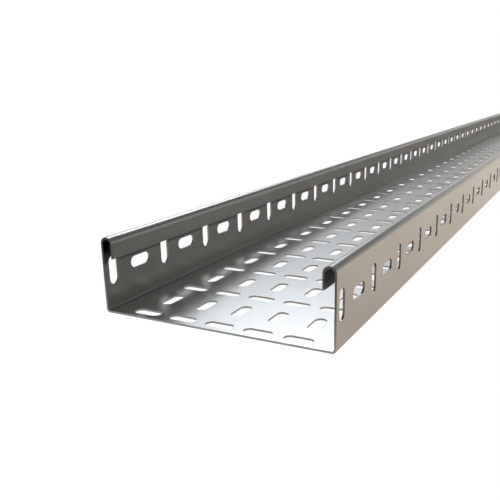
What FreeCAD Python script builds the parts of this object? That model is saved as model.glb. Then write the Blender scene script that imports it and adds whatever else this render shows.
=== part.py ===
import FreeCAD, Part
import os
from math import pi, sin, cos
from FreeCAD import Vector

# A perforated cable tray, folded from one strip of sheet steel and laid as it stands in use:
# the length runs along X, the width along Y, and the underside rests on the floor at Z = 0.
# All sizes are in millimetres.

# The strip and the outside of the folded section.
tray_length = 3000.0
tray_width = 150.0
tray_height = 47.0
sheet = 1.2
floor_bend_outer_radius = 2.2

# The return flange: each wall is rolled inward over its top and hangs down as a lip.
flange_width = 8.0
lip_drop = 13.0

# The punched pattern. Crossing rows have upright wall slots and crosswise floor slots.
# The lengthwise rows between them have every slot turned to run along the tray.
row_step = 25.0
first_row_from_end = 7.5
floor_columns = 5
column_step = 25.0
wall_slot_height = 25.0
slot_length = 18.0
slot_width = 7.5

# How far a punch reaches past each face of the sheet.
punch_overrun = 1.0

# Sizes that follow from those above.
half_width = tray_width / 2.0
flange_outer_radius = flange_width / 2.0
flange_inner_radius = flange_outer_radius - sheet
flange_centre_y = half_width - flange_outer_radius
flange_centre_z = tray_height - flange_outer_radius
lip_end_z = tray_height - lip_drop
lip_face_y = half_width - flange_width
floor_bend_inner_radius = floor_bend_outer_radius - sheet
floor_bend_y = half_width - floor_bend_outer_radius
near_end_x = -tray_length / 2.0
row_count = int(round(tray_length / row_step))
column_reach = column_step * (floor_columns - 1) / 2.0
punch_depth = sheet + 2.0 * punch_overrun

lengthwise = Vector(1.0, 0.0, 0.0)
crosswise = Vector(0.0, 1.0, 0.0)
upright = Vector(0.0, 0.0, 1.0)


def on_section(side, y, z):
    """A point of the cross-section at the near end, on the +Y side (1) or the -Y side (-1)."""
    return Vector(near_end_x, side * y, z)


def bend(side, centre_y, centre_z, radius, first_angle, last_angle):
    """The arc of a bend. Its angles are measured from level and outward, turning upward."""
    points = []
    for angle in (first_angle, (first_angle + last_angle) / 2.0, last_angle):
        y = centre_y + radius * cos(angle)
        z = centre_z + radius * sin(angle)
        points.append(on_section(side, y, z))
    return Part.Arc(points[0], points[1], points[2]).toShape()


def straight(side, first, last):
    """A straight stretch between two (y, z) points of one side."""
    return Part.makeLine(on_section(side, first[0], first[1]), on_section(side, last[0], last[1]))


def outer_skin(side):
    """From the floor's underside round the foot bend, up the wall and over the flange."""
    foot_z = floor_bend_outer_radius
    return [
        bend(side, floor_bend_y, foot_z, floor_bend_outer_radius, -pi / 2.0, 0.0),
        straight(side, (half_width, foot_z), (half_width, flange_centre_z)),
        bend(side, flange_centre_y, flange_centre_z, flange_outer_radius, 0.0, pi),
        straight(side, (lip_face_y, flange_centre_z), (lip_face_y, lip_end_z)),
    ]


def inner_skin(side):
    """From the lip's cut edge up inside the flange and down the wall to the floor's top."""
    foot_z = floor_bend_outer_radius
    wall_y = half_width - sheet
    hidden_y = lip_face_y + sheet
    return [
        straight(side, (lip_face_y, lip_end_z), (hidden_y, lip_end_z)),
        straight(side, (hidden_y, lip_end_z), (hidden_y, flange_centre_z)),
        bend(side, flange_centre_y, flange_centre_z, flange_inner_radius, pi, 0.0),
        straight(side, (wall_y, flange_centre_z), (wall_y, foot_z)),
        bend(side, floor_bend_y, foot_z, floor_bend_inner_radius, 0.0, -pi / 2.0),
    ]


def folded_strip():
    """The folded section run out along the whole length, before punching."""
    edges = []
    for side in (1, -1):
        edges += outer_skin(side) + inner_skin(side)
    for z in (0.0, sheet):
        edges.append(Part.makeLine(on_section(1, floor_bend_y, z), on_section(-1, floor_bend_y, z)))
    outline = Part.Wire(Part.__sortEdges__(edges))
    return Part.Face(outline).extrude(lengthwise * tray_length)


def slot_punch(centre, along, across, through):
    """A round-ended punch whose long axis is along, pushed through the sheet from centre."""
    end_radius = slot_width / 2.0
    half_run = along * (slot_length / 2.0 - end_radius)
    flank = across * end_radius
    tip = along * (slot_length / 2.0)
    near_end = Part.Arc(centre - half_run + flank, centre - tip, centre - half_run - flank)
    far_end = Part.Arc(centre + half_run - flank, centre + tip, centre + half_run + flank)
    lower_flank = Part.makeLine(centre - half_run - flank, centre + half_run - flank)
    upper_flank = Part.makeLine(centre + half_run + flank, centre - half_run + flank)
    outline = Part.Wire([near_end.toShape(), lower_flank, far_end.toShape(), upper_flank])
    return Part.Face(outline).extrude(through)


def floor_punches(x, along, across):
    """The punches of one row across the floor."""
    punches = []
    for column in range(floor_columns):
        y = column * column_step - column_reach
        punches.append(slot_punch(Vector(x, y, -punch_overrun), along, across, upright * punch_depth))
    return punches


def wall_punches(x, along, across):
    """The punches of one row in the two walls, driven in from outside and clear of the lips."""
    punches = []
    for side in (1, -1):
        start = Vector(x, side * (half_width + punch_overrun), wall_slot_height)
        punches.append(slot_punch(start, along, across, crosswise * (-side * punch_depth)))
    return punches


def pattern_punches():
    """Every punch of the pattern, row by row from the near end."""
    punches = []
    for row in range(row_count):
        x = near_end_x + first_row_from_end + row * row_step
        if row % 2 == 0:
            punches += floor_punches(x, crosswise, lengthwise)
            punches += wall_punches(x, upright, lengthwise)
        else:
            punches += floor_punches(x, lengthwise, crosswise)
            punches += wall_punches(x, lengthwise, upright)
    return punches


def cable_tray():
    """The whole tray, one folded and punched strip."""
    punched = folded_strip().cut(Part.makeCompound(pattern_punches()))
    return punched.Solids[0]


os.makedirs("parts", exist_ok=True)
tray = cable_tray()
tray.exportStep("parts/cable_tray.step")
print("cable_tray", tray.ShapeType, "solids", len(tray.Solids), "faces", len(tray.Faces))
print("valid", tray.isValid(), "volume_mm3", round(tray.Volume), "box", tray.BoundBox)
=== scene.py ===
import math

import bpy
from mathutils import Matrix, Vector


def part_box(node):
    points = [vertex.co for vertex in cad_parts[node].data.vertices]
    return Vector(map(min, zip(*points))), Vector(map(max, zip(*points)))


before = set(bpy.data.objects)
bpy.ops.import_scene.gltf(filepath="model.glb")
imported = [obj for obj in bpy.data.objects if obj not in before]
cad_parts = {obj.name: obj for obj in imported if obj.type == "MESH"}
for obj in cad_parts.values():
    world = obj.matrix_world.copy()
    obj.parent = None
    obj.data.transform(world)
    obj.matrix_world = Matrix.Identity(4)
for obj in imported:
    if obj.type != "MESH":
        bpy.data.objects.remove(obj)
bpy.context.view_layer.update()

# Lengths are in metres, in the tray's own frame: X along its length, Y across its width and
# Z up. The underside lies at Z = 0, and the end that the camera is near has the lowest X.

# The folded sheet
tray_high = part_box("cable_tray")[1]
HALF_LENGTH = tray_high[0]
HALF_WIDTH = tray_high[1]
TRAY_HEIGHT = round(tray_high[2], 4)
SHEET = 0.0012
RIM_WIDTH = 0.008
FOOT_BEND_RADIUS = 0.0022
WALL_INNER_FACE = HALF_WIDTH - SHEET
LIP_BACK_FACE = HALF_WIDTH - RIM_WIDTH + SHEET
RIM_INNER_TOP = TRAY_HEIGHT - SHEET
FOOT_BEND_START = HALF_WIDTH - FOOT_BEND_RADIUS

# Where the finish and the painted shade change. A limit stands the slack away from the face that it
# parts.
SLACK = 0.0001
WALL_SLOT_BAND = (0.012, 0.0385)
RIM_SHADE_FADES_IN = (0.0288, 0.0315)
PUNCHED_EDGE_FACING = 0.3

# The finish of the steel, and the painted shade in the hollows of its rims and foot bends
SHEET_COLOUR = (0.60, 0.595, 0.58)
SHEET_METALLIC = 1.0
SHEET_ROUGHNESS = 0.31
CUT_EDGE_COLOUR = (0.52, 0.515, 0.50)
CUT_EDGE_ROUGHER_BY = 0.05
# Painted shade: the colour that the hollows of the rims and foot bends are darkened to
SHADED_COLOUR = (0.14, 0.14, 0.137)
FOOT_BEND_SHADE = 0.12
TINT_STRETCH = (9.0, 22.0, 22.0)
TINT_DETAIL = (3.0, 0.5)
TINT_NOISE_SPAN = (0.3, 0.7)
TINT_LEVELS = (0.95, 1.05)
GRAIN_STRETCH = (6.0, 900.0, 900.0)
GRAIN_DETAIL = (4.0, 0.6)
GRAIN_NOISE_SPAN = (0.25, 0.75)
GRAIN_ROUGHNESS = 0.02
GRAIN_BUMP_STRENGTH = 0.03
GRAIN_BUMP_DEPTH = 0.00002

# The white table. The camera sees it burnt out, and the steel mirrors it dimmer and warmer.
# A pair of places along the tray gives where the glow starts to change and where it stops.
TABLE_HALF_SIZE = 15.0
TABLE_TOP = -0.0004
TABLE_COLOUR = (0.10, 0.10, 0.10)
TABLE_ROUGHNESS = 0.9
TABLE_GLOW_SEEN = (1.0, 1.0, 1.0)
TABLE_GLOW_BEHIND = (0.10, 0.09, 0.08)
TABLE_GLOW_NEAR = (0.58, 0.50, 0.43)
TABLE_GLOW_FAR = (0.82, 0.74, 0.64)
TABLE_GLOW_UNDER = (0.51, 0.49, 0.465)
GLOW_STARTS = (-1.56, -1.5)
GLOW_GROWS = (-1.45, -0.9)
UNDER_TRAY_HALF_WIDTH = HALF_WIDTH - 0.0008

# The light of the room, by the direction that it comes from. A direction has length 1, and
# its parts are ahead along the tray, left across it and up. A pair is a span of one part.
BACKDROP_SEEN = (1.0, 1.0, 1.0)
ROOM_COLOUR = (1.0, 0.985, 0.95)
HORIZON_SIDE = (-0.45, -0.05)
HORIZON_LEVELS = (0.42, 0.55)
HORIZON_RISE = (0.05, 0.5)
ROOM_ABOVE = 0.25
HORIZON_TURNS_AHEAD = (-0.2, 0.4)
ROOM_BEHIND = 0.5
HORIZON_FAR = (0.945, 0.99)
HORIZON_FAR_GAIN = 2.0
SOFTBOX_COLOUR = (0.80, 0.887, 1.0)
SOFTBOX_STRENGTH = 8.6
SOFTBOX_RIGHT_EDGE = (0.09, 0.34)
SOFTBOX_LEFT_EDGE = (0.49, 0.56)
SOFTBOX_NEAR_EDGE = (0.4, 0.6)
SOFTBOX_FOOT = (0.42, 0.48)
SOFTBOX_TOP = (0.46, 0.68)

# The camera
SENSOR_WIDTH = 36.0
LENS = 46.129
SHIFT = (-0.1264, 0.0301)
CLIP = (0.01, 60.0)
CAMERA_PLACE = (-1.78156, -0.18859, 0.13749)
CAMERA_TURN_DEGREES = (73.5864, -0.1462, -65.7414)

RISING = (0.0, 1.0)
FALLING = (1.0, 0.0)


def rgba(colour, level=1.0):
    """A colour as a node takes it, made lighter or darker by the level."""
    return (*(part * level for part in colour), 1.0)


class Wiring:
    """Short calls that place and join the nodes of one material or world."""

    def __init__(self, owner):
        owner.use_nodes = True
        self.tree = owner.node_tree
        self.tree.nodes.clear()

    def node(self, kind, **settings):
        made = self.tree.nodes.new(kind)
        for name, value in settings.items():
            setattr(made, name, value)
        return made

    def feed(self, socket, value):
        """Join an output to the socket, or set the socket to a plain value."""
        if isinstance(value, bpy.types.NodeSocket):
            self.tree.links.new(value, socket)
        else:
            socket.default_value = value

    def maths(self, operation, *values):
        made = self.node("ShaderNodeMath", operation=operation)
        for socket, value in zip(made.inputs, values):
            self.feed(socket, value)
        return made.outputs[0]

    def size_of(self, value):
        return self.maths("ABSOLUTE", value)

    def above(self, value, limit):
        return self.maths("GREATER_THAN", value, limit)

    def below(self, value, limit):
        return self.maths("LESS_THAN", value, limit)

    def within(self, value, low, high):
        return self.product(self.above(value, low), self.below(value, high))

    def product(self, first, *others):
        result = first
        for other in others:
            result = self.maths("MULTIPLY", result, other)
        return result

    def largest(self, first, *others):
        result = first
        for other in others:
            result = self.maths("MAXIMUM", result, other)
        return result

    def blend(self, amount, low, high):
        made = self.node("ShaderNodeMix", data_type="RGBA")
        self.feed(made.inputs["Factor"], amount)
        self.feed(made.inputs["A"], low)
        self.feed(made.inputs["B"], high)
        return made.outputs["Result"]

    def ramp(self, value, span, levels=RISING, shape="LINEAR"):
        """From the first level to the second while the value crosses the span."""
        made = self.node("ShaderNodeMapRange", interpolation_type=shape, clamp=True)
        self.feed(made.inputs["Value"], value)
        self.feed(made.inputs["From Min"], span[0])
        self.feed(made.inputs["From Max"], span[1])
        self.feed(made.inputs["To Min"], levels[0])
        self.feed(made.inputs["To Max"], levels[1])
        return made.outputs["Result"]

    def soft_ramp(self, value, span, levels=RISING):
        return self.ramp(value, span, levels, "SMOOTHSTEP")

    def place(self, kind):
        return self.node("ShaderNodeTexCoord").outputs[kind]

    def parts_of(self, vector):
        """The X, Y and Z of a vector."""
        made = self.node("ShaderNodeSeparateXYZ")
        self.feed(made.inputs[0], vector)
        return [made.outputs[axis] for axis in "XYZ"]

    def noise(self, where, stretch, detail):
        """Noise with this many waves to the metre along X, Y and Z."""
        scaled = self.node("ShaderNodeVectorMath", operation="MULTIPLY")
        self.feed(scaled.inputs[0], where)
        scaled.inputs[1].default_value = stretch
        made = self.node("ShaderNodeTexNoise")
        self.feed(made.inputs["Vector"], scaled.outputs[0])
        made.inputs["Scale"].default_value = 1.0
        made.inputs["Detail"].default_value = detail[0]
        made.inputs["Roughness"].default_value = detail[1]
        return made.outputs["Fac"]

    def seen_by_camera(self):
        return self.node("ShaderNodeLightPath").outputs["Is Camera Ray"]

    def finish_with(self, kind, surface):
        self.feed(self.node(kind).inputs["Surface"], surface)


def cut_faces(w, along, across, height, facing_y, facing_z):
    """A mask that is 1 on the edges of the slots and on the sawn ends."""
    floor_edges = w.product(
        w.below(across, FOOT_BEND_START - SLACK),
        w.below(height, SHEET + SLACK),
        w.below(facing_z, PUNCHED_EDGE_FACING),
    )
    wall_edges = w.product(
        w.above(across, WALL_INNER_FACE - 2.0 * SLACK),
        w.within(height, *WALL_SLOT_BAND),
        w.below(facing_y, PUNCHED_EDGE_FACING),
    )
    sawn_ends = w.above(along, HALF_LENGTH - SLACK)
    return w.largest(floor_edges, wall_edges, sawn_ends)


def shaded_hollows(w, across, height):
    """A mask of painted shade for the hollow of the rolled rims, fading in on the wall just under
    the lips, and faintly for the hollow of the foot bends.
    """
    rim_hollow = w.product(
        w.within(across, LIP_BACK_FACE - SLACK, WALL_INNER_FACE + SLACK),
        w.below(height, RIM_INNER_TOP - SLACK),
        w.ramp(height, RIM_SHADE_FADES_IN),
    )
    foot_hollow = w.product(
        w.within(across, FOOT_BEND_START - SLACK, WALL_INNER_FACE + SLACK),
        w.within(height, SHEET - 2.0 * SLACK, FOOT_BEND_RADIUS + SLACK),
        FOOT_BEND_SHADE,
    )
    return w.largest(rim_hollow, foot_hollow)


def sheet_steel():
    """Satin rolled steel with a fine grain along the tray and a slow change of tint."""
    material = bpy.data.materials.new("rolled_sheet_steel")
    w = Wiring(material)
    place = w.place("Object")
    x, y, height = w.parts_of(place)
    along = w.size_of(x)
    across = w.size_of(y)
    facing = w.parts_of(w.node("ShaderNodeNewGeometry").outputs["True Normal"])
    facing_y = w.size_of(facing[1])
    facing_z = w.size_of(facing[2])
    cut = cut_faces(w, along, across, height, facing_y, facing_z)
    shaded = shaded_hollows(w, across, height)
    grain = w.noise(place, GRAIN_STRETCH, GRAIN_DETAIL)

    tint = w.ramp(w.noise(place, TINT_STRETCH, TINT_DETAIL), TINT_NOISE_SPAN)
    colour = w.blend(tint, rgba(SHEET_COLOUR, TINT_LEVELS[0]), rgba(SHEET_COLOUR, TINT_LEVELS[1]))
    colour = w.blend(shaded, colour, rgba(SHADED_COLOUR))
    colour = w.blend(cut, colour, rgba(CUT_EDGE_COLOUR))

    rough_levels = (SHEET_ROUGHNESS - GRAIN_ROUGHNESS, SHEET_ROUGHNESS + GRAIN_ROUGHNESS)
    rough = w.ramp(grain, GRAIN_NOISE_SPAN, rough_levels)
    rough = w.maths("ADD", rough, w.product(cut, CUT_EDGE_ROUGHER_BY))

    bump = w.node("ShaderNodeBump")
    w.feed(bump.inputs["Height"], grain)
    bump.inputs["Strength"].default_value = GRAIN_BUMP_STRENGTH
    bump.inputs["Distance"].default_value = GRAIN_BUMP_DEPTH

    steel = w.node("ShaderNodeBsdfPrincipled")
    steel.inputs["Metallic"].default_value = SHEET_METALLIC
    w.feed(steel.inputs["Base Color"], colour)
    w.feed(steel.inputs["Roughness"], rough)
    w.feed(steel.inputs["Normal"], bump.outputs["Normal"])
    w.finish_with("ShaderNodeOutputMaterial", steel.outputs["BSDF"])
    return material


def lit_white_table():
    """The table glows more further along, evenly under the tray, and faintly before its near end."""
    material = bpy.data.materials.new("lit_white_table")
    w = Wiring(material)
    x, y = w.parts_of(w.place("Object"))[:2]
    glow = w.blend(w.ramp(x, GLOW_GROWS), rgba(TABLE_GLOW_NEAR), rgba(TABLE_GLOW_FAR))
    under_tray = w.below(w.size_of(y), UNDER_TRAY_HALF_WIDTH)
    glow = w.blend(under_tray, glow, rgba(TABLE_GLOW_UNDER))
    glow = w.blend(w.ramp(x, GLOW_STARTS), rgba(TABLE_GLOW_BEHIND), glow)
    glow = w.blend(w.seen_by_camera(), glow, rgba(TABLE_GLOW_SEEN))

    table = w.node("ShaderNodeBsdfPrincipled")
    table.inputs["Base Color"].default_value = rgba(TABLE_COLOUR)
    table.inputs["Roughness"].default_value = TABLE_ROUGHNESS
    table.inputs["Specular IOR Level"].default_value = 0.0
    table.inputs["Emission Strength"].default_value = 1.0
    w.feed(table.inputs["Emission Color"], glow)
    w.finish_with("ShaderNodeOutputMaterial", table.outputs["BSDF"])
    return material


def studio_floor():
    """One flat square, far wider than the tray is long, just under the tray's underside."""
    half = TABLE_HALF_SIZE
    corners = [(-half, -half), (half, -half), (half, half), (-half, half)]
    mesh = bpy.data.meshes.new("studio_floor")
    mesh.from_pydata([(*corner, TABLE_TOP) for corner in corners], [], [(0, 1, 2, 3)])
    mesh.materials.append(lit_white_table())
    floor = bpy.data.objects.new("studio_floor", mesh)
    bpy.context.scene.collection.objects.link(floor)


def light_tent():
    """A dim room, a pale horizon that is brightest far ahead, and a softbox up on the left."""
    world = bpy.data.worlds.new("light_tent")
    w = Wiring(world)
    ahead, left, up = w.parts_of(w.place("Generated"))
    room = w.product(
        w.soft_ramp(left, HORIZON_SIDE, HORIZON_LEVELS),
        w.soft_ramp(up, HORIZON_RISE, (1.0, ROOM_ABOVE)),
        w.soft_ramp(ahead, HORIZON_TURNS_AHEAD, (ROOM_BEHIND, 1.0)),
        w.soft_ramp(ahead, HORIZON_FAR, (1.0, HORIZON_FAR_GAIN)),
    )
    softbox = w.product(
        w.soft_ramp(left, SOFTBOX_RIGHT_EDGE),
        w.soft_ramp(left, SOFTBOX_LEFT_EDGE, FALLING),
        w.soft_ramp(ahead, SOFTBOX_NEAR_EDGE),
        w.soft_ramp(up, SOFTBOX_FOOT),
        w.soft_ramp(up, SOFTBOX_TOP, FALLING),
    )
    fill = w.node("ShaderNodeBackground")
    w.feed(fill.inputs["Color"], w.blend(softbox, rgba(ROOM_COLOUR), rgba(SOFTBOX_COLOUR)))
    w.feed(fill.inputs["Strength"], w.maths("MULTIPLY_ADD", softbox, SOFTBOX_STRENGTH, room))
    backdrop = w.node("ShaderNodeBackground")
    backdrop.inputs["Color"].default_value = rgba(BACKDROP_SEEN)
    choose = w.node("ShaderNodeMixShader")
    w.feed(choose.inputs[0], w.seen_by_camera())
    w.feed(choose.inputs[1], fill.outputs[0])
    w.feed(choose.inputs[2], backdrop.outputs[0])
    w.finish_with("ShaderNodeOutputWorld", choose.outputs[0])
    bpy.context.scene.world = world


def tray_view():
    """The camera, low in front of the near end and a little to the right of the tray."""
    data = bpy.data.cameras.new("tray_view")
    data.sensor_width = SENSOR_WIDTH
    data.lens = LENS
    data.shift_x, data.shift_y = SHIFT
    data.clip_start, data.clip_end = CLIP
    camera = bpy.data.objects.new("tray_view", data)
    camera.location = CAMERA_PLACE
    camera.rotation_euler = [math.radians(turn) for turn in CAMERA_TURN_DEGREES]
    bpy.context.scene.collection.objects.link(camera)
    bpy.context.scene.camera = camera


steel = sheet_steel()
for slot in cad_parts["cable_tray"].material_slots:
    slot.material = steel

studio_floor()
light_tent()
tray_view()

scene = bpy.context.scene
scene.view_settings.view_transform = "Standard"
scene.view_settings.look = "None"
